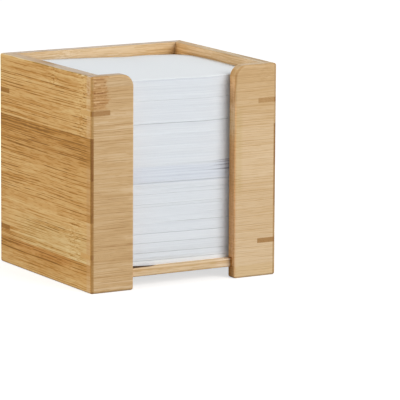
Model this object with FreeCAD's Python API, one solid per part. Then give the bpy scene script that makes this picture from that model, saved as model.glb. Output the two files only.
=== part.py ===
import FreeCAD, Part
import os

# A note box of pressed bamboo board: four mitred walls, the front one open down its middle, and a
# floor panel held in a groove. It holds a block of loose square-cut notes.
# Millimetres. X runs left to right, Y front to back, Z up. The origin is the centre of the footprint
# on the surface that the box stands on.

V = FreeCAD.Vector

# The box
WIDTH = 103.0
DEPTH = 94.6
HEIGHT = 105.0
BOARD = 6.3             # thickness of the wall boards
POST_WIDTH = 23.4       # each side of the front opening, from the outside corner
POST_TOP_ROUND = 6.2    # the posts' inner top corners
EDGE_ROUND = 1.2        # every other edge of the boards

# The staves that each board is glued up from. The wall boards were ripped through the top and bottom
# ones, and the full ones between them are equal.
TOP_STAVE = 9.3
BOTTOM_STAVE = 14.0
FULL_STAVES = 4
FLOOR_STAVES = 5

# The floor panel and its groove
FLOOR_RISE = 5.4        # underside of the panel above the table
FLOOR_THICKNESS = 4.2
FLOOR_EDGE_ROUND = 0.5
GROOVE_BACKING = 2.4    # wood left outside the groove
GROOVE_SLACK = 0.7      # over the panel
EXPANSION_GAP = 1.4     # between the panel's edges and the bottom of the groove

# The keys let into the mitred corners
KEY_THICKNESS = 2.4
KEY_INSET = 17.8        # middle of a key from the nearer end of the corner
LOW_BACK_INSET = 18.6   # the same, for the lower keys at the back
KEY_BACKING = 2.2       # how far the kerf stops short of the inner corner, along a wall's face

# The notes
SHEET_THICKNESS = 0.1
HEADROOM = 5.1          # from the top note up to the rim
NOTE_CLEARANCE = 1.0    # all round, inside the walls
PACKETS = 10            # equal packets under the top note

SAME = 1e-6

# Worked out from those
INNER_X = WIDTH / 2 - BOARD
INNER_Y = DEPTH / 2 - BOARD
OPENING_HALF = WIDTH / 2 - POST_WIDTH
GROOVE_DEPTH = BOARD - GROOVE_BACKING
TONGUE = GROOVE_DEPTH - EXPANSION_GAP
FLOOR_TOP = FLOOR_RISE + FLOOR_THICKNESS
KEY_LEG = 2 * BOARD - KEY_BACKING
NOTES_TOP = HEIGHT - HEADROOM


def block(x0, x1, y0, y1, z0, z1):
    """A box between three pairs of limits."""
    return Part.makeBox(x1 - x0, y1 - y0, z1 - z0, V(x0, y0, z0))


def prism(outline, z0, z1):
    """An upright prism over a flat outline of (x, y) points."""
    points = [V(x, y, z0) for x, y in outline]
    return Part.Face(Part.makePolygon(points + points[:1])).extrude(V(0, 0, z1 - z0))


def only_solid(shape):
    """The one solid of a cut's result."""
    assert len(shape.Solids) == 1, "expected one solid, found %d" % len(shape.Solids)
    return shape.Solids[0]


def edges_where(shape, test):
    """The edges whose two end points both pass a test."""
    return [edge for edge in shape.Edges if all(test(vertex.Point) for vertex in edge.Vertexes)]


def near(a, b):
    """Whether two lengths are the same, but for rounding."""
    return abs(a - b) < SAME


# ---- the walls, as one ring before it is cut into boards ----

def is_inner_corner(point):
    return near(abs(point.x), INNER_X) and near(abs(point.y), INNER_Y)


def walls_ring():
    """All four walls with their edges rounded, before the groove and the kerfs."""
    ring = block(-WIDTH / 2, WIDTH / 2, -DEPTH / 2, DEPTH / 2, 0, HEIGHT)
    ring = ring.cut(block(-INNER_X, INNER_X, -INNER_Y, INNER_Y, 0, HEIGHT))
    ring = ring.cut(block(-OPENING_HALF, OPENING_HALF, -DEPTH / 2, 0, 0, HEIGHT))
    post_tops = edges_where(ring, lambda p: near(abs(p.x), OPENING_HALF) and near(p.z, HEIGHT))
    ring = ring.makeFillet(POST_TOP_ROUND, post_tops)
    arrises = [edge for edge in ring.Edges
               if not all(is_inner_corner(vertex.Point) for vertex in edge.Vertexes)
               and not is_smooth_seam(edge)]
    return only_solid(ring.makeFillet(EDGE_ROUND, arrises))


def is_smooth_seam(edge):
    """A seam through a post, where its rounded top runs smoothly into the rim or the post's side."""
    ends = [vertex.Point for vertex in edge.Vertexes]
    along_y = all(near(point.x, ends[0].x) and near(point.z, ends[0].z) for point in ends)
    return along_y and abs(ends[0].x) < INNER_X and not near(ends[0].z, 0)


def groove():
    """The groove for the floor panel, run round all four walls."""
    x = INNER_X + GROOVE_DEPTH
    y = INNER_Y + GROOVE_DEPTH
    return block(-x, x, -y, y, FLOOR_RISE, FLOOR_TOP + GROOVE_SLACK)


def kerf(side_x, side_y, middle_z):
    """The saw kerf across one corner, which its key fills."""
    x = side_x * WIDTH / 2
    y = side_y * DEPTH / 2
    corner = [(x, y), (x - side_x * KEY_LEG, y), (x, y - side_y * KEY_LEG)]
    return prism(corner, middle_z - KEY_THICKNESS / 2, middle_z + KEY_THICKNESS / 2)


# ---- cutting the ring into boards, and the boards into staves ----

def board_outlines():
    """The plan of each board, bounded by the mitres, as node name prefix to outline."""
    x, y = WIDTH / 2, DEPTH / 2
    outlines = {"back": [(-x, y), (-INNER_X, INNER_Y), (INNER_X, INNER_Y), (x, y)]}
    for name, side in (("left", -1), ("right", 1)):
        outlines[name + "_side"] = [(side * x, -y), (side * INNER_X, -INNER_Y),
                                    (side * INNER_X, INNER_Y), (side * x, y)]
        outlines[name + "_front_post"] = [(side * x, -y), (side * INNER_X, -INNER_Y),
                                          (side * OPENING_HALF, -INNER_Y), (side * OPENING_HALF, -y)]
    return outlines


def equal_limits(low, high, count):
    """The ends and joints of so many equal pieces."""
    return [low + (high - low) * index / count for index in range(count + 1)]


def wall_staves(ring):
    """Every stave of the walls, numbered from the rim down."""
    limits = [HEIGHT] + equal_limits(HEIGHT - TOP_STAVE, BOTTOM_STAVE, FULL_STAVES) + [0]
    staves = {}
    for board, outline in board_outlines().items():
        for number, (top, bottom) in enumerate(zip(limits, limits[1:]), 1):
            staves["%s_stave_%d" % (board, number)] = ring.common(prism(outline, bottom, top))
    return staves


def floor_staves():
    """The floor panel's staves, which run from side to side, numbered from the front."""
    x = INNER_X + TONGUE
    y = INNER_Y + TONGUE
    panel = block(-x, x, -y, y, FLOOR_RISE, FLOOR_TOP)
    panel = panel.makeFillet(FLOOR_EDGE_ROUND, edges_where(panel, lambda point: near(point.y, -y)))
    limits = equal_limits(-y, y, FLOOR_STAVES)
    return {"floor_stave_%d" % number: panel.common(block(-x, x, front, back, FLOOR_RISE, FLOOR_TOP))
            for number, (front, back) in enumerate(zip(limits, limits[1:]), 1)}


# ---- the notes ----

def note(z0, z1):
    x = INNER_X - NOTE_CLEARANCE
    y = INNER_Y - NOTE_CLEARANCE
    return block(-x, x, -y, y, z0, z1)


def notes():
    """The packets from the floor up, then the single note on top."""
    top_packet = NOTES_TOP - SHEET_THICKNESS
    limits = equal_limits(FLOOR_TOP, top_packet, PACKETS)
    pieces = {"note_packet_%02d" % number: note(bottom, top)
              for number, (bottom, top) in enumerate(zip(limits, limits[1:]), 1)}
    pieces["top_note"] = note(top_packet, NOTES_TOP)
    return pieces


# ---- the whole box ----

def keys_and_kerfs(ring):
    """Each key, flush with the rounded corner, and the kerf that it fills."""
    keys = {}
    kerfs = []
    for row, side_y, low_inset in (("front", -1, KEY_INSET), ("back", 1, LOW_BACK_INSET)):
        for level, middle_z in (("upper", HEIGHT - KEY_INSET), ("lower", low_inset)):
            for column, side_x in (("left", -1), ("right", 1)):
                cut = kerf(side_x, side_y, middle_z)
                keys["corner_key_%s_%s_%s" % (row, column, level)] = ring.common(cut)
                kerfs.append(cut)
    return keys, kerfs


def main():
    os.makedirs("parts", exist_ok=True)
    ring = walls_ring()
    keys, kerfs = keys_and_kerfs(ring)
    pieces = wall_staves(ring.cut([groove()] + kerfs))
    pieces.update(floor_staves())
    pieces.update(keys)
    pieces.update(notes())
    for name, shape in pieces.items():
        only_solid(shape).exportStep("parts/%s.step" % name)


main()
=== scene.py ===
import math
from functools import cached_property

import bmesh
import bpy
from mathutils import Matrix, Vector


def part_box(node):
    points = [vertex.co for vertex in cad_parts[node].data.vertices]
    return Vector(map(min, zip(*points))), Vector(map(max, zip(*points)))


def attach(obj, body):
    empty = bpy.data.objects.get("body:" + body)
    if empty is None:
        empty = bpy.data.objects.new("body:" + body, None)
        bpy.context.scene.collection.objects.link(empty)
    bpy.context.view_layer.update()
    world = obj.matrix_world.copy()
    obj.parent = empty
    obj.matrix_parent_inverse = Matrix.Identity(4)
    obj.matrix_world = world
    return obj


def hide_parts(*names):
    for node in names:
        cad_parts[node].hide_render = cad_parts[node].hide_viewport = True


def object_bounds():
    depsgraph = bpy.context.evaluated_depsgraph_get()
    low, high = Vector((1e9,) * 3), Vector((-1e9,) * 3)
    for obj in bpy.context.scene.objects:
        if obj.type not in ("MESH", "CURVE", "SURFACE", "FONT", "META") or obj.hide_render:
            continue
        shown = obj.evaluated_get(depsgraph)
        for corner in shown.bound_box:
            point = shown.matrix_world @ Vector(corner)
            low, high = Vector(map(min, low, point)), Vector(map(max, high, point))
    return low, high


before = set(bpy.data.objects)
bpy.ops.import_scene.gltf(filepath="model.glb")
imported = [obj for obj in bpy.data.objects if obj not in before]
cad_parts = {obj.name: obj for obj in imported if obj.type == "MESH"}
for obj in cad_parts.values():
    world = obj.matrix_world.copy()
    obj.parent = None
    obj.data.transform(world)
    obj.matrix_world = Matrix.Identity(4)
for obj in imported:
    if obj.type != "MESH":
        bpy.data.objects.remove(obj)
cad_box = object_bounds()

# A note box of pressed bamboo board: its boards' finishes, and its loose notes sheet by sheet.
# Metres, in the same frame as the solids. Patterns in the wood and paper are worked out in millimetres.

MM = 0.001

# Where the boards end, read from the solids
BOX_HIGH = cad_box[1]
HALF_WIDTH = BOX_HIGH.x / MM
HALF_DEPTH = BOX_HIGH.y / MM
HEIGHT = BOX_HIGH.z / MM
FLOOR_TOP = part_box("floor_stave_1")[1].z / MM
CORNER_ROUND = 1.25          # the rounded edges, a little over their radius

# Camera
AZIMUTH = -30.345            # degrees, 0 looks along +Y
ELEVATION = 10.294
ROLL = 0.356
DISTANCE = 1.791
AIM = Vector((0.036214, 0, 0.0309))
FOCAL_PIXELS = 3586.2
IMAGE_PIXELS = 400
SENSOR = 36.0                # mm
CAMERA_REACH = 50            # how far it sees

# Soft square lights. Azimuth and elevation as the camera's, distance, width, and power in watts
LIGHTS = {"key_softbox": (24, 31, 1.6, 0.9, 16.6),
          "left_softbox": (-105, 28, 1.6, 0.9, 13),
          "back_panel": (150, 12, 2.2, 1.6, 6)}
LIT_POINT = Vector((0, 0, 0.05))
SURROUND = 0.35              # how strongly the white surround lights the box
WHITE = (1, 1, 1, 1)
TABLE_RADIUS = 9.0
TABLE_SIDES = 96
TABLE_SEEN = (0.56, 0.56, 0.56, 1)  # to the camera, which also sees it glow, so that shadows stay faint
TABLE_GLOW = 0.66
TABLE_LIGHT = (0.50, 0.50, 0.51, 1)  # to everything else


# ---- adding nodes, in materials and geometry trees ----

class Number:
    """A number in a node tree. Arithmetic on it adds the Math nodes."""

    def __init__(self, wiring, socket):
        self.wiring = wiring
        self.socket = socket

    def _math(self, operation, *values, clamp=False):
        settings = {"operation": operation, "use_clamp": clamp}
        made = self.wiring.node("ShaderNodeMath", settings, dict(enumerate(values)))
        return Number(self.wiring, made.outputs[0])

    def __add__(self, other):
        return self._math("ADD", self, other)

    __radd__ = __add__

    def __sub__(self, other):
        return self._math("SUBTRACT", self, other)

    def __rsub__(self, other):
        return self._math("SUBTRACT", other, self)

    def __mul__(self, other):
        return self._math("MULTIPLY", self, other)

    __rmul__ = __mul__

    def __truediv__(self, other):
        return self._math("DIVIDE", self, other)

    def __neg__(self):
        return self._math("MULTIPLY", self, -1)

    def __pow__(self, other):
        return self._math("POWER", self, other)

    def __abs__(self):
        return self._math("ABSOLUTE", self)

    def least(self, other):
        return self._math("MINIMUM", self, other)

    def most(self, other):
        return self._math("MAXIMUM", self, other)

    def clamped(self):
        return self._math("ADD", self, 0, clamp=True)

    def passes(self, limit):
        """1 where it is over the limit, else 0."""
        return self._math("GREATER_THAN", self, limit)

    def floored(self):
        return self._math("FLOOR", self)

    def fraction(self):
        return self._math("FRACT", self)

    def rise(self, low, high):
        """Climbs smoothly from 0 at low to 1 at high. With low over high it falls instead."""
        made = self.wiring.node("ShaderNodeMapRange", {"interpolation_type": "SMOOTHSTEP"},
                                {"Value": self, "From Min": low, "From Max": high})
        return Number(self.wiring, made.outputs["Result"])


class Wiring:
    """Adds nodes to one node tree."""

    def __init__(self, tree):
        self.tree = tree
        tree.nodes.clear()

    def node(self, kind, settings=None, values=None):
        """A new node: its settings come first, then the values or links of its sockets."""
        made = self.tree.nodes.new(kind)
        for name, value in (settings or {}).items():
            if name == "stops":
                self._set_stops(made.color_ramp, value)
            else:
                setattr(made, name, value)
        for name, value in (values or {}).items():
            self.feed(made.inputs[name], value)
        return made

    def feed(self, socket, value):
        """Links a socket to what drives it, or sets its value."""
        if isinstance(value, Number):
            self.tree.links.new(value.socket, socket)
        elif isinstance(value, bpy.types.NodeSocket):
            self.tree.links.new(value, socket)
        else:
            socket.default_value = value

    @staticmethod
    def _set_stops(ramp, stops):
        while len(ramp.elements) < len(stops):
            ramp.elements.new(1.0)
        for element, (place, colour) in zip(ramp.elements, stops):
            element.position = place
            element.color = (*colour, 1)

    def number(self, kind, settings=None, values=None, output=0):
        """The number that a new node gives."""
        return Number(self, self.node(kind, settings, values).outputs[output])

    def vector(self, x, y, z):
        return self.node("ShaderNodeCombineXYZ", None, {0: x, 1: y, 2: z}).outputs[0]

    def split(self, vector):
        """The three numbers of a vector."""
        made = self.node("ShaderNodeSeparateXYZ", None, {0: vector})
        return [Number(self, output) for output in made.outputs]


class Finish(Wiring):
    """A material, with what several of them need."""

    SHEEN = 0.38                     # of lacquered wood and paper
    SEED_SHIFTS = (17.3, 5.1, 11.9)  # how far a seed moves the noise along each axis

    def __init__(self, name):
        self.material = bpy.data.materials.new(name)
        self.material.use_nodes = True
        super().__init__(self.material.node_tree)

    def millimetres(self):
        """Where a point of the piece is, as three numbers."""
        place = self.node("ShaderNodeTexCoord").outputs["Object"]
        return [number / MM for number in self.split(place)]

    def facing(self):
        """Which way the surface faces, as three numbers."""
        return self.split(self.node("ShaderNodeTexCoord").outputs["Normal"])

    def mottle(self, place, size, seed, detail=2.0, roughness=0.5):
        """Soft noise from about 0 to 1, whose spots have that size along each axis."""
        x, y, z = [number * (1 / length) + seed * shift
                   for number, length, shift in zip(place, size, self.SEED_SHIFTS)]
        values = {"Vector": self.vector(x, y, z), "Scale": 1.0, "Detail": detail, "Roughness": roughness}
        return self.number("ShaderNodeTexNoise", None, values)

    def mix(self, amount, first, second, blend="MIX"):
        """A colour between two others."""
        settings = {"data_type": "RGBA", "blend_type": blend}
        return self.node("ShaderNodeMix", settings, {0: amount, 6: first, 7: second}).outputs[2]

    def tinted(self, colour, amount, tint):
        """A colour multiplied by a tint, by an amount from 0 to 1."""
        return self.mix(amount, colour, (*tint, 1), "MULTIPLY")

    def ramp(self, stops, amount):
        """The colour that a ramp has at an amount from 0 to 1."""
        return self.node("ShaderNodeValToRGB", {"stops": stops}, {"Fac": amount}).outputs["Color"]

    def shaded(self, colour, roughness, height, specular=SHEEN):
        """Ends the material in its surface. Height is in millimetres."""
        bump = self.node("ShaderNodeBump", None, {"Height": height, "Distance": MM, "Strength": 1.0})
        values = {"Base Color": colour, "Roughness": roughness, "Normal": bump.outputs[0],
                  "Specular IOR Level": specular}
        surface = self.node("ShaderNodeBsdfPrincipled", None, values)
        self.node("ShaderNodeOutputMaterial", None, {"Surface": surface.outputs[0]})
        return self.material


# ---- bamboo ----

def corner_mask(x, y):
    """1 on the upright outer corners' rounding and a hair beside it."""
    from_side = HALF_WIDTH - abs(x)
    from_face = HALF_DEPTH - abs(y)
    return (from_side * 0.86).most(from_face * 1.6).rise(CORNER_ROUND + 0.25, CORNER_ROUND - 0.25)


class Stave(Finish):
    """The finish of one stave. Each of its masks is 1 on a certain surface and 0 off it.

    Its place is where a point lies along the grain, across it and into the wood, with a slow waver."""

    WAVER = 1.4                      # mm
    WAVER_SIZE = (38, 14, 14)
    FLOOR_LEAN = 0.9                 # how the floor panel's fibres lean, so that its front edge shows them
    CUT_FACING = (0.66, 0.80)        # how squarely a cut end faces along the grain, at the soft limits
    FLAT_FACING = (0.80, 0.97)       # the same upwards, for the flat of the rim
    GROOVE_INSET = (2.3, 6.2)        # mm in from the box's outside, a hair beyond the groove
    GROOVE_HEIGHT = (5.3, 10.4)      # mm up from the table
    OPENING = (27.9, 28.3)           # mm out from the middle, the soft limits of the front opening

    def __init__(self, name, grain, seed):
        super().__init__(name)
        self.seed = seed
        self.x, self.y, self.z = x, y, z = self.millimetres()
        self.facing_x, self.facing_y, self.facing_z = self.facing()
        self.facing_along = self.facing_y if grain == "y" else self.facing_x
        leaning = y + z * self.FLOOR_LEAN
        along, across, deep = {"x": (x, z, y), "y": (y, z, x), "floor": (x, leaning, z)}[grain]
        waver = self.mottle((along, across, deep), self.WAVER_SIZE, seed, 1.0) - 0.5
        self.place = (along, across + waver * self.WAVER, deep)

    @cached_property
    def corner(self):
        return corner_mask(self.x, self.y)

    @cached_property
    def ends(self):
        """The stave's ends, cut across the grain."""
        return abs(self.facing_along).rise(*self.CUT_FACING) * (1 - self.corner)

    @cached_property
    def rim(self):
        return self.facing_z.rise(*self.FLAT_FACING) * (self.z - FLOOR_TOP).passes(0.2)

    @cached_property
    def beside_corner(self):
        """A strip of a side board next to the front corner, and the corner itself."""
        return (self.y + HALF_DEPTH).rise(5.0, 3.8)

    @cached_property
    def strip(self):
        """The strip without the corner."""
        return self.beside_corner * (1 - self.corner)

    @cached_property
    def behind_strip(self):
        return 1 - self.beside_corner

    @cached_property
    def rim_arris(self):
        """The rounded edges along the rim."""
        return self.facing_z.rise(0.42, 0.72) * self.facing_z.rise(0.99, 0.88) * (1 - self.corner)

    @cached_property
    def left_arris(self):
        return self.rim_arris * (-self.facing_x).passes(0)

    @cached_property
    def right_arris(self):
        return self.rim_arris * self.facing_x.passes(0)

    @cached_property
    def post_arris(self):
        """The rounded edge of a post beside the opening. It is narrower low down."""
        forward = -self.facing_y
        return (forward - self.z.rise(60, 5) * 0.27).rise(0.30, 0.55) * forward.rise(0.995, 0.90)

    @cached_property
    def darker_high_edge(self):
        """The same edge high up, where it is darker. It gets narrower downwards."""
        forward = -self.facing_y
        lower = (97 - self.z).most(0) * 0.045
        return (forward + lower).rise(0.25, 0.55) * (forward + lower * 1.6).rise(0.998, 0.90)

    @cached_property
    def shaded_groove(self):
        """The cut walls of the groove for the floor, where shade is painted: deeper and a warmer orange."""
        inset = (HALF_WIDTH - abs(self.x)).least(HALF_DEPTH - abs(self.y))
        outer, inner = self.GROOVE_INSET
        low, high = self.GROOVE_HEIGHT
        across = (inset - outer).passes(0) * (inner - inset).passes(0)
        return across * (self.z - low).passes(0) * (high - self.z).passes(0)

    @cached_property
    def in_posts(self):
        """The floor panel past the front opening."""
        return abs(self.x).rise(*self.OPENING)

    @cached_property
    def painted_curl_shadow(self):
        """A narrowing strip of the floor panel before the curled sheets, where their shadow is painted."""
        tapered = self.y - (self.x + 19).most(0) ** 2 * 0.042
        strip = tapered.rise(-42.9, -42.1) * self.y.rise(-36.6, -40.2)
        return strip * (self.z - FLOOR_TOP + 0.6).passes(0)

    def within(self, surface, reach):
        """1 on a surface, or on any if it is None, between soft limits: an axis, then where it starts to
        climb from 0 and where it is 1."""
        masks = [getattr(self, surface)] if surface else []
        masks += [getattr(self, axis).rise(low, high) for axis, low, high in reach]
        return math.prod(masks[1:], start=masks[0])


# From the palest fibre to the darkest. A number called depth picks the colour between them.
GOLDEN = [(0.00, (0.81, 0.535, 0.210)),
          (0.35, (0.68, 0.376, 0.110)),
          (0.65, (0.53, 0.237, 0.034)),
          (1.00, (0.29, 0.122, 0.008))]
PALE = [(0.00, (0.79, 0.592, 0.368)),
        (0.24, (0.63, 0.412, 0.195)),
        (0.66, (0.45, 0.245, 0.085)),
        (1.00, (0.26, 0.103, 0.022))]

# Sizes of the soft noises in staves, in millimetres along the grain, across it and into the wood
CLOUD_SIZE = (34, 5.5, 6)
STREAK_SIZE = (26, 1.6, 2.2)
SWAY_SIZE = (9, 6, 8)
SPECKLE_SIZE = (3.4, 0.8, 1.0)
DOT_SIZE = (1.6, 0.7, 0.8)
RAGGED_SIZE = (3, 0.9, 2)
# The same along x, y and z
CORNER_SIZE = (3, 3, 9)
UPRIGHT_SIZE = (1.6, 1.1, 60)
# In keys, along one diagonal, upwards and along the other; then along x, y and z
KEY_FIBRE_SIZE = (6, 0.6, 0.8)
KEY_BLOTCH_SIZE = (5, 5, 2)

# Dark fibres: their pitch and length, the step of their seed, the limits on the noise that starts and ends
# them, and half their width as a share of the pitch
FIBRES = {"long": (1.30, 30, 3, (0.38, 0.60), 0.15),
          "short": (0.86, 6, 4, (0.42, 0.62), 0.22),
          "vein": (3.9, 52, 5, (0.44, 0.58), 0.08)}
PATCH_BARS = (1.25, 3.2, 21, (0.40, 0.52), 0.26)
PATCH_PALE_BARS = (1.7, 3.6, 24, (0.50, 0.60), 0.24)

# Where a kind of board is tinted or deeper than its fibres make it: the surface, or None for any, then the
# soft limits along the axes, and the tint or the depth
# Painted shade on the walls of the groove for the floor: deeper and a warmer orange
GROOVE_SHADE_DEEPER = ("shaded_groove", [], 0.14)
GROOVE_SHADE_TINT = ("shaded_groove", [], (1.34, 0.99, 0.50))
DARKER_HIGH_EDGE_DEEPER = ("darker_high_edge", [("x", 34, 31), ("z", 84, 90)], 0.26)
COARSE_TINTS = [
    ("strip", [], (0.99, 1.02, 1.22)),
    ("strip", [("z", 94, 97)], (0.93, 0.89, 0.90)),
    # a painted highlight, greyish, on the rim's outer rounded edge, and painted shade on the inner one
    ("left_arris", [("z", 101, 103)], (1.15, 1.46, 2.2)),
    ("right_arris", [("z", 101, 103)], (0.84, 0.88, 0.96)),
    ("rim", [("y", 22, -12)], (0.86, 0.87, 0.93)),
    # a paler fifth stave, and browner places in the sixth and the third
    ("behind_strip", [("z", 33, 23), ("z", 13.9, 14.1), ("y", 36, 14)], (1.02, 1.13, 1.30)),
    (None, [("z", 8.5, 10.5), ("z", 14.1, 13.9), ("y", 40, 26), ("y", -32, -18)], (0.99, 0.93, 0.87)),
    (None, [("z", 56, 62), ("z", 71, 67), ("y", 28, 14), ("y", -38, -22)], (0.94, 0.92, 0.87)),
    GROOVE_SHADE_TINT]
QUIET_TINTS = [
    # warmer over the notes at the right, and lighter at the left
    (None, [("x", 12, 34), ("y", 43, 41.5), ("z", 86, 96), ("z", 104, 100.5)], (1.0, 0.94, 0.82)),
    (None, [("x", -6, -24), ("y", 43, 41.5), ("z", 99, 100), ("z", 104, 101.5)], (1.08, 1.17, 1.36)),
    GROOVE_SHADE_TINT]
FAINT_TINTS = [
    # browner beside the opening and on the cut ends high up, a painted shade at the foot, and a painted
    # highlight on the rounded edge
    (None, [("x", 33.2, 30.6), ("z", 38, 48), ("z", 88, 78)], (0.94, 0.93, 0.84)),
    ("ends", [("z", 82, 90)], (0.86, 0.76, 0.62)),
    ("ends", [("z", 95.5, 101.5)], (0.82, 0.85, 0.76)),
    (None, [("z", 7.0, 5.4)], (0.95, 0.92, 0.82)),
    ("post_arris", [("x", 34, 31), ("z", 90, 82)], (1.24, 1.14, 1.08)),
    GROOVE_SHADE_TINT]
INNER_TINTS = [
    # warmer towards the back, and painted light there over the notes, as from the paper
    (None, [("y", -10, 38)], (1.0, 0.91, 0.80)),
    (None, [("y", 26, 42), ("z", 104.0, 100.5)], (1.14, 1.11, 0.98)),
    GROOVE_SHADE_TINT]
FLOOR_TINTS = [
    # a painted shadow under the curl, a painted shade of deeper orange in the groove within the posts, and
    # painted light at the right beside the post
    ("painted_curl_shadow", [("x", -10.0, -14.5)], (0.19, 0.145, 0.12)),
    # painted shade: the floor's end in the groove within the posts is tinted a deeper orange
    ("in_posts", [], (1.25, 0.95, 0.45)),
    # painted light: the floor is lighter beside the right post, where the post shades it
    (None, [("x", 17, 24), ("x", 28.3, 27.9)], (1.10, 1.15, 1.30))]

# How strongly each kind of mark shows. Boards cut near the bamboo's skin have long dark fibres.
COARSE = {"cloud": 0.50, "streak": 0.52, "long": 0.54, "short": 0.30, "vein": 0.42, "knuckle": 1.0,
          "colours": GOLDEN, "rim": (0.80, 0.92, 1.50), "corner": (1.0, 1.03, 1.20),
          "deeper": [GROOVE_SHADE_DEEPER], "tints": COARSE_TINTS, "sheen": Finish.SHEEN, "roughness": 0.42}
QUIET = {"cloud": 0.26, "streak": 0.34, "long": 0.20, "short": 0.16, "vein": 0.18, "knuckle": 0.5,
         "colours": PALE, "rim": (0.80, 0.87, 1.10), "corner": (0.95, 0.92, 0.76),
         "deeper": [GROOVE_SHADE_DEEPER], "tints": QUIET_TINTS, "sheen": Finish.SHEEN, "roughness": 0.42}
FAINT = {"cloud": 0.14, "streak": 0.18, "long": 0.10, "short": 0.07, "vein": 0.09, "knuckle": 0.3,
         "colours": PALE, "rim": (0.99, 1.05, 1.16), "corner": (1.0, 1.06, 1.20),
         "deeper": [DARKER_HIGH_EDGE_DEEPER, GROOVE_SHADE_DEEPER], "tints": FAINT_TINTS, "sheen": Finish.SHEEN,
         "roughness": 0.42}
INNER = {"cloud": 0.36, "streak": 0.40, "long": 0.24, "short": 0.14, "vein": 0.26, "knuckle": 0.6,
         "colours": PALE, "rim": (0.95, 1.04, 1.12), "corner": (1.0, 1.0, 1.0),
         "deeper": [GROOVE_SHADE_DEEPER], "tints": INNER_TINTS, "sheen": Finish.SHEEN, "roughness": 0.42}
FLOOR = {**QUIET, "deeper": [], "tints": FLOOR_TINTS, "sheen": 0.12, "roughness": 0.72}  # matt

ON_CORNER = 0.3              # how much of a stave's own depth is left on the upright corners
PATCH_TINT = (1.04, 0.96, 0.86)
ENDS_TINT = (1.23, 0.99, 0.77)
ENDS_UPPER = (66, 76)        # mm, height over which the cut ends get lighter


def bamboo(name, grain, tones, limits, seed, marks, knuckles=(), corner=0.4, patch=None):
    """One stave's finish. Tones are its depths at its two edges, whose places across the grain are its
    limits. A third one says how much deeper it is beside the front corner. Knuckles are the bamboo's nodes,
    along the grain, and corner is how deep the upright rounded corner is."""
    wood = Stave(name, grain, seed)
    straight = wood.y if grain == "floor" else wood.z
    low, high = limits
    fade = ((straight - low) * (1 / (high - low))).clamped()
    cloud = wood.mottle(wood.place, CLOUD_SIZE, seed + 1) - 0.5
    streak = wood.mottle(wood.place, STREAK_SIZE, seed + 2) - 0.5
    run = {kind: fibres(wood, *sizes) for kind, sizes in FIBRES.items()}
    lines = run["long"] * marks["long"] + run["short"] * marks["short"] + run["vein"] * marks["vein"]
    if len(tones) > 2:
        lines = calmer_in_front(wood, lines, tones[2])
    depth = fade * (tones[1] - tones[0]) + tones[0]
    depth = depth + cloud * marks["cloud"] + streak * marks["streak"] + lines
    for number, middle in enumerate(knuckles):
        depth = depth + knuckle(wood, middle, seed + 10 + number) * marks["knuckle"]
    if patch:
        browner, deeper = browner_patch(wood, patch)
        depth = depth + deeper
    depth = depth * (1 - wood.corner * (1 - ON_CORNER)) + edge_marks(wood, corner) + end_grain(wood)
    for surface, reach, more in marks["deeper"]:
        depth = depth + wood.within(surface, reach) * more

    colour = wood.ramp(marks["colours"], depth)
    if patch:
        colour = wood.tinted(colour, browner, PATCH_TINT)
    colour = wood.tinted(colour, wood.ends * (1 - wood.z.rise(*ENDS_UPPER) * 0.5), ENDS_TINT)
    # Painted shade: the flat of the rim gets a greyer tint than the wood.
    colour = wood.tinted(colour, wood.rim, marks["rim"])
    colour = wood.tinted(colour, wood.corner, marks["corner"])
    for surface, reach, tint in marks["tints"]:
        colour = wood.tinted(colour, wood.within(surface, reach), tint)
    groove = run["long"] * -0.05 - run["short"] * 0.03 + streak * 0.05
    return wood.shaded(colour, depth.clamped() * 0.12 + marks["roughness"], groove, marks["sheen"])


def fibres(wood, pitch, length, seed_step, threshold, width):
    """Thin dark bundles of fibre, side by side at about that pitch, each starting and ending by chance."""
    along, across, deep = wood.place
    turned = across * (1 / pitch) + (wood.seed + seed_step)
    row = turned.floored()
    askew = (row * 0.618).fraction() * 0.44 - 0.22
    aside = abs(turned - row - 0.5 + askew)
    ends = {"Vector": wood.vector(along * (1 / length) + row * 3.71, row * 1.37, deep * 0.5),
            "Scale": 1.0, "Detail": 1.0}
    run = wood.number("ShaderNodeTexNoise", None, ends)
    return run.rise(*threshold) * aside.rise(width + 0.12, width - 0.12)


def calmer_in_front(wood, lines, deeper):
    """The fibres, fainter beside the front corner, where the wood is deeper, and lighter along the rim."""
    lines = lines * (1 - wood.beside_corner * 0.7) + wood.beside_corner * deeper
    return lines - wood.within(None, [("y", 2, -14), ("z", 100.5, 102.5)]) * 0.17


def knuckle(wood, middle, seed):
    """The band round one of the bamboo's nodes, where its fibres weave and look mottled."""
    sway = wood.mottle(wood.place, SWAY_SIZE, seed, 1.0) - 0.5
    distance = abs(wood.place[0] - middle + sway * 9)
    band = distance.rise(11.0, 3.0)
    speckle = wood.mottle(wood.place, SPECKLE_SIZE, seed + 1, 2.0, 0.6).rise(0.42, 0.64)
    dots = wood.mottle(wood.place, DOT_SIZE, seed + 2, 1.0).rise(0.60, 0.72) * distance.rise(5.0, 2.0)
    return band * (speckle * 0.34 - 0.18) + dots * 0.42


def browner_patch(wood, patch):
    """A darker place in a stave, which starts and ends sharply, with short fibres across it."""
    along, across = wood.place[:2]
    left, right, bottom, top, strength = patch
    ragged = along + (wood.mottle(wood.place, RAGGED_SIZE, wood.seed + 20, 1.0) - 0.5) * 9
    inside = ragged.rise(left, left + 0.8) * ragged.rise(right + 0.6, right - 1.2)
    inside = inside * across.rise(bottom, bottom + 1.5) * across.rise(top, top - 1.5)
    bars = fibres(wood, *PATCH_BARS)
    pale_bars = fibres(wood, *PATCH_PALE_BARS)
    return inside, inside * (strength + bars * 0.26 - pale_bars * 0.24 - 0.06)


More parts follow.
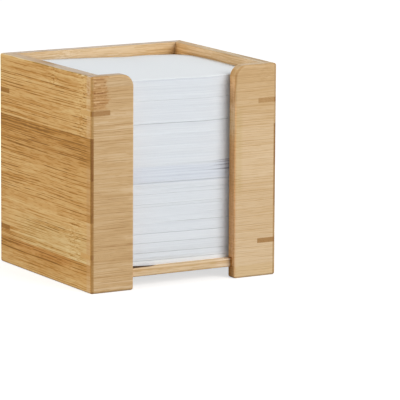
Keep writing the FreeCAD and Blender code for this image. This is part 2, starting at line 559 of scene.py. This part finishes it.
def edge_marks(wood, corner):
    """Darker upright rounded corners, a painted shade on the foot, and the rim a little worn."""
    uneven = wood.mottle((wood.x, wood.y, wood.z), CORNER_SIZE, wood.seed + 30) - 0.5
    foot = wood.z.rise(1.6, 0.3)
    rim_edge = wood.z.rise(HEIGHT - 0.9, HEIGHT - 0.4) * wood.z.rise(HEIGHT - 0.02, HEIGHT - 0.15)
    return wood.corner * (corner + uneven * 0.3) + foot * 0.14 + rim_edge * 0.05


def end_grain(wood):
    """How much deeper the cut ends are. They are lighter high up, and a painted shade makes them darker
    towards the notes at the back, more so low down.
    """
    upright = wood.mottle((wood.x, wood.y, wood.z), UPRIGHT_SIZE, wood.seed + 6) - 0.5
    front = wood.y.rise(-41.5, -46.5)
    deeper = upright * 0.5 + 0.22 - wood.z.rise(*ENDS_UPPER) * 0.22 - wood.z.rise(86, 95) * 0.06
    lower = wood.z.rise(74, 56) * (1 - front) * 0.10
    return wood.ends * (deeper + lower - front * 0.16)


# Each board's staves from the rim down: depths at the stave's lower and upper edge, then its knuckles.
BOARDS = {
    "left_side": ("y", COARSE, [((0.22, 0.22, 0), [-10, -41, -43]), ((0.20, 0.18, 0), [-38]),
                                ((0.24, 0.58, 0.10), []), ((0.24, 0.21, 0.16), []),
                                ((0.14, 0.17, 0.06), [-30]), ((0.05, 0.52, 0), [])]),
    "right_side": ("y", INNER, [((0.16, 0.12), []), ((0.10, 0.14), [12]), ((0.20, 0.16), []),
                                ((0.06, 0.10), [-20]), ((0.22, 0.30), []), ((0.14, 0.10), [30])]),
    "back": ("x", QUIET, [((0.10, 0.06), [-18]), ((0.16, 0.14), []), ((0.20, 0.22), [25]),
                          ((0.30, 0.34), [-35]), ((0.22, 0.20), []), ((0.28, 0.24), [5])]),
    "left_front_post": ("x", QUIET, [((0.26, 0.26), []), ((0.18, 0.24), []), ((0.20, 0.18), []),
                                     ((0.22, 0.18), []), ((0.24, 0.26), []), ((0.17, 0.20), [])]),
    "right_front_post": ("x", FAINT, [((0.24, 0.24), [47]), ((0.13, 0.21), []), ((0.07, 0.08), []),
                                      ((0.11, 0.08), []), ((0.08, 0.11), []), ((0.00, 0.03), [])]),
}
# A browner place: its left, right, bottom and top, and how much deeper it is
PATCH = (-52, -42.5, 88, 106, 0.24)
PATCHED = ("left_front_post_stave_1", "left_front_post_stave_2")
# How deep the upright rounded corners are, from the rim down
CORNERS = [0.42, 0.42, 0.87, 0.74, 0.57, 0.52]
FLOOR_TONES = [(0.0, 0.02), (0.2, 0.16), (0.14, 0.2), (0.18, 0.22), (0.2, 0.16)]
# Seeds: the steps from board to board, stave to stave and key to key, and where the floor's and keys' start
BOARD_STEP = 7.7
STAVE_STEP = 1.9
KEY_STEP = 2.3
FLOOR_SEED = 50
KEY_SEED = 80


def dress(node, material):
    """Gives a solid its material."""
    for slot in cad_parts[node].material_slots:
        slot.material = material


def dress_boards():
    for board_number, (board, (grain, marks, staves)) in enumerate(BOARDS.items()):
        for number, (tones, knuckles) in enumerate(staves, 1):
            node = "%s_stave_%d" % (board, number)
            low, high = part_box(node)
            seed = board_number * BOARD_STEP + number * STAVE_STEP
            patch = PATCH if node in PATCHED else None
            dress(node, bamboo(node, grain, tones, (low.z / MM, high.z / MM), seed, marks,
                               knuckles, CORNERS[number - 1], patch))
    for number, tones in enumerate(FLOOR_TONES, 1):
        node = "floor_stave_%d" % number
        low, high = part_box(node)
        seed = FLOOR_SEED + number * STAVE_STEP
        dress(node, bamboo(node, "floor", tones, (low.y / MM, high.y / MM), seed, FLOOR))


def key_wood(name, face_depth, side_depth, side_colours, seed):
    """The darker slips in the mitred corners. Each face of a key shows its own shade."""
    wood = Finish(name)
    place = wood.millimetres()
    x, y, z = place
    across_face = abs(wood.facing()[0]).rise(0.5, 0.8)
    slant = (x + y) * 0.7071
    fibre = wood.mottle((slant, z, x - y), KEY_FIBRE_SIZE, seed, 2.0, 0.6) - 0.5
    blotch = wood.mottle(place, KEY_BLOTCH_SIZE, seed + 1) - 0.5
    depth = across_face * (side_depth - face_depth) + face_depth + fibre * 0.24 + blotch * 0.16
    on_corner = corner_mask(x, y) * (-y).passes(0)
    depth = depth * (1 - on_corner) + on_corner * KEY_CORNER
    colour = wood.mix(across_face, wood.ramp(PALE, depth), wood.ramp(side_colours, depth))
    return wood.shaded(colour, 0.44 + fibre * 0.1, fibre * 0.12)


KEY_CORNER = 0.84            # depth on the front corners
# Depth on the front or back face, then on the side face
KEYS = {"front_left_upper": (0.70, 0.26), "front_right_upper": (0.56, 0.6),
        "front_left_lower": (0.28, 0.30), "front_right_lower": (0.67, 0.6),
        "back_left_upper": (0.66, 0.86), "back_right_upper": (0.64, 0.7),
        "back_left_lower": (0.62, 0.86), "back_right_lower": (0.66, 0.62)}


def dress_keys():
    for number, (corner, (face_depth, side_depth)) in enumerate(KEYS.items()):
        node = "corner_key_" + corner
        side_colours = GOLDEN if "left" in corner else PALE
        seed = KEY_SEED + number * KEY_STEP
        dress(node, key_wood(node, face_depth, side_depth, side_colours, seed))


# ---- the notes ----

SHEET = 0.1                  # mm, the thickness of the paper
SHEETS = 880                 # under the top one
LOWER_SHEETS = 440           # of them, those that stay when a handful is lifted off
STRAY = 0.30                 # mm, how far a sheet can lie out of line
DIVISIONS = (7, 4)           # points along a sheet's width and length
TOP_DIVISIONS = (31, 27)     # the same on the top note
BLOCK_SEED = 11
TOP_SEED = 29
# How the sheets stray: how many lie together, their share of it, and the step of their seed
BUNDLES = ((1, 0.16, 0), (9, 0.3, 1), (31, 0.34, 2), (73, 0.2, 3))

# Where the block has settled apart: (sheets below, gap in mm, x where it starts to open, and where it is
# fully open)
ALL_ACROSS = (-200, -190)
GAPS = [(19, 0.13, *ALL_ACROSS), (52, 0.13, *ALL_ACROSS), (100, 0.11, *ALL_ACROSS),
        (144, 0.13, *ALL_ACROSS), (196, 0.13, -30, 16), (232, 0.08, 14, 30), (273, 0.06, *ALL_ACROSS),
        (286, 0.08, *ALL_ACROSS), (333, 0.09, *ALL_ACROSS), (352, 0.07, -14, 6), (366, 0.06, 10, -14),
        (375, 0.08, 10, -14), (387, 0.14, *ALL_ACROSS), (408, 0.08, 16, 30), (429, 0.20, 13, 30),
        (448, 0.15, 14, 30), (463, 0.08, 10, 30), (469, 0.07, 0, 20), (488, 0.07, 14, 30),
        (669, 0.15, -60, -10), (746, 0.06, 12, 30), (780, 0.08, *ALL_ACROSS), (843, 0.06, 14, 30)]
# Sheets that lie a hair apart each: the first and last, mm in all, and x where they close up
FAN = (391, 475, 0.42, -2, 30)
# Sheets, from and to, that have slid back at the right. They are not moved here: their cut edges there get
# a painted shade
RIGHT_SHADE_SHEETS = [(428, 431), (447, 450), (461, 463), (469, 471)]
LIFT = 0.95                  # mm, how much higher the sheets' left end lies than the right
LIFT_FULL = 32               # sheets over which that builds up
LIFT_X = (26, 52)            # x where it starts, and the mm over which it reaches that height
CURL = 1.5                   # mm, the bottom sheet's left end over the floor
CURL_X = (-16, 28)           # x where it starts, and the mm over which it reaches that height
CURL_Y = (36, 0)             # y where there is none, and where it is full
CROWN = 0.9                  # mm, how the top sheets bow up at their right edge
CROWN_X = (-20, 64)          # x where it starts, and the mm over which it reaches that height
CROWN_Y = 40                 # mm from the middle, half the sheets' length, where it has died away
CROWN_FIRST = 500            # the sheet from which it builds up
CORNER_LIFT = 0.95           # mm, the same at their back left corner
# x and y where that starts. Every sheet has points there, so that none cuts another.
CORNER_LIFT_X = (14.73, 59)  # and the mm over which it reaches that height
CORNER_LIFT_Y = (-13.33, 40)
TIGHT = 0.40                 # share by which the gaps close up towards the back right corner
TIGHT_X = (18, 45)
TIGHT_Y = (20, 41)


def loose_notes_tree(paper):
    """A block of square-cut sheets. Each lies a little out of line, and the whole block has settled."""
    tree = bpy.data.node_groups.new("loose_notes", "GeometryNodeTree")
    sockets = {}
    for name, kind in (("First", "Int"), ("Count", "Int"), ("Width", "Float"), ("Length", "Float"),
                       ("Thickness", "Float"), ("Floor", "Float"), ("Across", "Int"), ("Along", "Int"),
                       ("Stray", "Float"), ("Seed", "Int")):
        sockets[name] = tree.interface.new_socket(name, in_out="INPUT", socket_type="NodeSocket" + kind)
    tree.interface.new_socket("Geometry", in_out="OUTPUT", socket_type="NodeSocketGeometry")
    wires = Wiring(tree)
    given = wires.node("NodeGroupInput").outputs
    first = Number(wires, given["First"])
    thickness = Number(wires, given["Thickness"])

    # one sheet, and a point for each
    size = wires.vector(given["Width"], given["Length"], given["Thickness"])
    sheet = wires.node("GeometryNodeMeshCube", None,
                       {"Size": size, "Vertices X": given["Across"], "Vertices Y": given["Along"],
                        "Vertices Z": 2})
    points = wires.node("GeometryNodeMeshLine", None, {"Count": given["Count"], "Offset": (0, 0, 0)})
    order = Number(wires, wires.node("GeometryNodeInputIndex").outputs[0]) + first
    height = (order + 0.5) * thickness + Number(wires, given["Floor"])
    stray = Number(wires, given["Stray"])
    shift_x, shift_y = stray_offsets(wires, order, given["Seed"])
    place = wires.vector(shift_x * stray, shift_y * stray, height)

    # the sheets on their points, each with its number, then bent
    placed = wires.node("GeometryNodeSetPosition", None, {"Geometry": points.outputs[0], "Position": place})
    block = wires.node("GeometryNodeInstanceOnPoints", None,
                       {"Points": placed.outputs[0], "Instance": sheet.outputs["Mesh"]})
    named = wires.node("GeometryNodeStoreNamedAttribute", {"data_type": "FLOAT", "domain": "INSTANCE"},
                       {"Geometry": block.outputs[0], "Name": "sheet", "Value": order})
    real = wires.node("GeometryNodeRealizeInstances", None, {"Geometry": named.outputs[0]})
    lift = wires.vector(0.0, 0.0, settled(wires) * MM)
    bent = wires.node("GeometryNodeSetPosition", None, {"Geometry": real.outputs[0], "Offset": lift})
    papered = wires.node("GeometryNodeSetMaterial", None, {"Geometry": bent.outputs[0], "Material": paper})
    wires.node("NodeGroupOutput", None, {"Geometry": papered.outputs[0]})
    return tree, sockets


def stray_offsets(wires, order, seed):
    """How far each sheet lies out of line, from -1 to 1: mostly with its bundle, and a little by itself."""
    shifts = [0, 0]
    for bundle, share, seed_step in BUNDLES:
        group = (order * (1 / bundle)).floored()
        values = {"ID": group, "Seed": Number(wires, seed) + seed_step, 0: (-1, -1, -1), 1: (1, 1, 1)}
        value = wires.node("FunctionNodeRandomValue", {"data_type": "FLOAT_VECTOR"}, values).outputs[0]
        for axis, part in enumerate(wires.split(value)[:2]):
            shifts[axis] = part * share + shifts[axis]
    return shifts


def settled(wires):
    """How high over its place in a tight block each point of a sheet lies, in millimetres."""
    place = wires.node("GeometryNodeInputPosition").outputs[0]
    x, y = [number / MM for number in wires.split(place)[:2]]
    sheet = wires.number("GeometryNodeInputNamedAttribute", {"data_type": "FLOAT"}, {"Name": "sheet"})

    # the left end, curled up at the bottom and straight further up
    start, run = LIFT_X
    straight = (start - x).most(0) * (LIFT / run)
    start, run = CURL_X
    curled = (start - x).most(0) * (CURL / run) * y.rise(*CURL_Y)
    share = (sheet * (1 / LIFT_FULL)).clamped()
    lift = share * (straight - curled) + curled

    # the gaps between sheets, which are closer at the back right corner
    for below, gap, start, end in GAPS:
        lift = lift + sheet.passes(below - 0.5) * x.rise(start, end) * gap
    first, last, total, start, end = FAN
    fanned = ((sheet - first) * (1 / (last - first))).clamped()
    lift = lift + fanned * x.rise(end, start) * total
    lift = lift * (1 - x.rise(*TIGHT_X) * y.rise(*TIGHT_Y) * TIGHT)

    # the top, bowed up at its right edge and its back left corner
    upper = ((sheet - CROWN_FIRST) * (1 / (SHEETS - CROWN_FIRST))).clamped()
    start, run = CROWN_X
    bow = (1 - (y / CROWN_Y) ** 2) * ((x - start) / run).clamped() * CROWN
    start, run = CORNER_LIFT_X
    bow = bow + (start - x).most(0) * y.rise(*CORNER_LIFT_Y) * (CORNER_LIFT / run)
    return lift + upper * upper * bow


# Tints of the block's cut edges, and the sheets where two of them start, are full, are still full and end
BLUER = (386, 395, 455, 467)
BLUER_TINT = (0.93, 0.945, 0.985)
# A band of sheets whose cut edges get a painted shade, a darker line across the block
SHADED_LINE_SHEETS = (379, 384, 387, 391)
SHADED_LINE_TINT = (0.87, 0.88, 0.91)
RIGHT_SHADE_TINT = (0.52, 0.50, 0.56)
# Painted light on the lowest sheets' edges, against their shade over the floor, more at the left by the
# post
BOTTOM_PAINTED_LIGHT = (1.10, 1.09, 1.08)
BOTTOM_LEFT_PAINTED_LIGHT = (1.07, 1.065, 1.05)
# Painted shade on the lowest sheet's underside, over the floor
UNDERSIDE_PAINTED_SHADE = (0.34, 0.33, 0.32)  # the lowest sheet's, in the dark over the floor
PAPER_WHITE = (0.86, 0.895, 0.92, 1)
PAPER_GREY = (0.72, 0.755, 0.80, 1)
# Sizes of the paper's soft noises: in sheets, then in millimetres along x and y
BATCH_SIZE = (17, 400, 400)
SINGLE_SIZE = (2.1, 60, 60)
TOOTH_SIZE = (0.5, 0.5, 0.5)  # all in millimetres


def among(sheet, start, full, still, end):
    """1 on some of the sheets."""
    return sheet.rise(start, full) * sheet.rise(end, still)


def paper_finish():
    """White writing paper. Its cut edges show the sheets as faint lines."""
    paper = Finish("note_paper")
    place = paper.millimetres()
    x, y = place[:2]
    upwards = paper.facing()[2]
    edge = abs(upwards).rise(0.7, 0.4)
    sheet = paper.number("ShaderNodeAttribute", {"attribute_name": "sheet"}, output="Fac")
    batch = paper.mottle((sheet, x, y), BATCH_SIZE, 3.0, 3.0, 0.7) - 0.5
    single = paper.mottle((sheet, x, y), SINGLE_SIZE, 5.0, 1.0) - 0.5
    tooth = paper.mottle(place, TOOTH_SIZE, 7.0) - 0.5
    bluer = among(sheet, *BLUER)
    single = single * (bluer * 2.6 + 1.3)
    # painted shade: the edges a little darker from sheet 480 up
    shade = (0.42 + batch * 0.5 + single + sheet.rise(480, 500) * 0.06 + sheet.rise(858, 874) * 0.2) * edge
    shade = shade + tooth * 0.06
    colour = paper.mix(shade.clamped(), PAPER_WHITE, PAPER_GREY)
    colour = paper.tinted(colour, bluer * edge, BLUER_TINT)
    # painted shade on that band of sheets
    colour = paper.tinted(colour, among(sheet, *SHADED_LINE_SHEETS) * edge, SHADED_LINE_TINT)
    # painted shade at the right on the sheets that have slid back
    for first, last in RIGHT_SHADE_SHEETS:
        right_shade = among(sheet, first - 1.5, first, last, last + 1.5)
        colour = paper.tinted(colour, right_shade * edge * x.rise(17, 28), RIGHT_SHADE_TINT)
    # painted light on the lowest sheets' edges
    colour = paper.tinted(colour, sheet.rise(26, 12) * edge, BOTTOM_PAINTED_LIGHT)
    colour = paper.tinted(colour, sheet.rise(30, 14) * edge * x.rise(4, -14), BOTTOM_LEFT_PAINTED_LIGHT)
    # painted shade on the lowest sheet's underside
    colour = paper.tinted(colour, sheet.rise(0.6, 0.2) * upwards.rise(-0.7, -0.95), UNDERSIDE_PAINTED_SHADE)
    return paper.shaded(colour, 0.78 + tooth * 0.1, tooth * 0.01)


def loose_notes(name, body, nodes, inputs, tree, sockets):
    """One lift of the block, as plain mesh that stands for its solids."""
    holder = bpy.data.objects.new(name, bpy.data.meshes.new(name))
    bpy.context.scene.collection.objects.link(holder)
    modifier = holder.modifiers.new("sheets", "NODES")
    modifier.node_group = tree
    for label, value in inputs.items():
        modifier[sockets[label].identifier] = value
    bpy.context.view_layer.update()
    made = bpy.data.meshes.new_from_object(holder.evaluated_get(bpy.context.evaluated_depsgraph_get()))
    holder.modifiers.remove(modifier)
    holder.data = made
    made.name = name
    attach(holder, body)
    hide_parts(*nodes)
    return holder


def make_notes():
    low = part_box("note_packet_01")[0]
    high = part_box("top_note")[1]
    tree, sockets = loose_notes_tree(paper_finish())
    across, along = DIVISIONS
    common = {"Width": high.x - low.x, "Length": high.y - low.y, "Thickness": SHEET * MM,
              "Floor": low.z, "Across": across, "Along": along, "Stray": STRAY * MM, "Seed": BLOCK_SEED}
    packets = ["note_packet_%02d" % number for number in range(1, 11)]
    loose_notes("lower_sheets", "lower_notes", packets[:5],
                {**common, "First": 0, "Count": LOWER_SHEETS}, tree, sockets)
    loose_notes("upper_sheets", "upper_notes", packets[5:],
                {**common, "First": LOWER_SHEETS, "Count": SHEETS - LOWER_SHEETS}, tree, sockets)
    across, along = TOP_DIVISIONS
    top = {**common, "First": SHEETS, "Count": 1, "Seed": TOP_SEED, "Across": across, "Along": along}
    sheet = loose_notes("top_sheet", "top_note", ["top_note"], top, tree, sockets)
    for polygon in sheet.data.polygons:
        polygon.use_smooth = abs(polygon.normal.z) > 0.9


# ---- the studio ----

def make_table():
    """A large plain white table, which glows a little for the camera."""
    mesh = bpy.data.meshes.new("table")
    shape = bmesh.new()
    bmesh.ops.create_circle(shape, cap_ends=True, radius=TABLE_RADIUS, segments=TABLE_SIDES)
    shape.to_mesh(mesh)
    shape.free()
    table = bpy.data.objects.new("table", mesh)
    bpy.context.scene.collection.objects.link(table)
    white = Finish("table_white")
    seen = white.node("ShaderNodeLightPath").outputs["Is Camera Ray"]
    dull = white.node("ShaderNodeBsdfDiffuse", None, {"Color": TABLE_LIGHT})
    values = {"Base Color": TABLE_SEEN, "Roughness": 0.9, "Emission Color": WHITE,
              "Emission Strength": TABLE_GLOW}
    glowing = white.node("ShaderNodeBsdfPrincipled", None, values)
    surface = white.node("ShaderNodeMixShader", None, {0: seen, 1: dull.outputs[0], 2: glowing.outputs[0]})
    white.node("ShaderNodeOutputMaterial", None, {"Surface": surface.outputs[0]})
    mesh.materials.append(white.material)


def make_world():
    """An even white surround."""
    world = bpy.data.worlds.new("studio")
    bpy.context.scene.world = world
    world.use_nodes = True
    wires = Wiring(world.node_tree)
    seen = wires.node("ShaderNodeLightPath").outputs["Is Camera Ray"]
    light = wires.node("ShaderNodeBackground", None, {"Color": WHITE, "Strength": SURROUND})
    backdrop = wires.node("ShaderNodeBackground", None, {"Color": WHITE, "Strength": 1.0})
    both = wires.node("ShaderNodeMixShader", None, {0: seen, 1: light.outputs[0], 2: backdrop.outputs[0]})
    wires.node("ShaderNodeOutputWorld", None, {"Surface": both.outputs[0]})


def direction(azimuth, elevation):
    """From the box towards a light or the camera, by its angles in degrees."""
    azimuth, elevation = math.radians(azimuth), math.radians(elevation)
    return Vector((math.sin(azimuth) * math.cos(elevation), -math.cos(azimuth) * math.cos(elevation),
                   math.sin(elevation)))


def make_light(name, azimuth, elevation, distance, size, power):
    """A soft square light that faces the box."""
    place = direction(azimuth, elevation) * distance
    lamp = bpy.data.lights.new(name, "AREA")
    lamp.shape = "SQUARE"
    lamp.size = size
    lamp.energy = power
    light = bpy.data.objects.new(name, lamp)
    light.visible_camera = False
    bpy.context.scene.collection.objects.link(light)
    light.location = place
    light.rotation_euler = (LIT_POINT - place).to_track_quat("-Z", "Y").to_euler()


def make_camera():
    back = direction(AZIMUTH, ELEVATION)
    roll = math.radians(ROLL)
    right = (-back).cross(Vector((0, 0, 1))).normalized()
    up = right.cross(-back)
    across = math.cos(roll) * right + math.sin(roll) * up
    upright = math.cos(roll) * up - math.sin(roll) * right
    lens = bpy.data.cameras.new("camera")
    lens.sensor_fit = "HORIZONTAL"
    lens.sensor_width = SENSOR
    lens.lens = FOCAL_PIXELS / IMAGE_PIXELS * SENSOR
    lens.clip_end = CAMERA_REACH
    camera = bpy.data.objects.new("camera", lens)
    bpy.context.scene.collection.objects.link(camera)
    turn = Matrix((across, upright, back)).transposed().to_4x4()
    camera.matrix_world = Matrix.Translation(AIM + back * DISTANCE) @ turn
    bpy.context.scene.camera = camera


def make_studio():
    make_table()
    make_world()
    for name, sizes in LIGHTS.items():
        make_light(name, *sizes)
    make_camera()
    bpy.context.scene.view_settings.view_transform = "Standard"


dress_boards()
dress_keys()
make_notes()
make_studio()
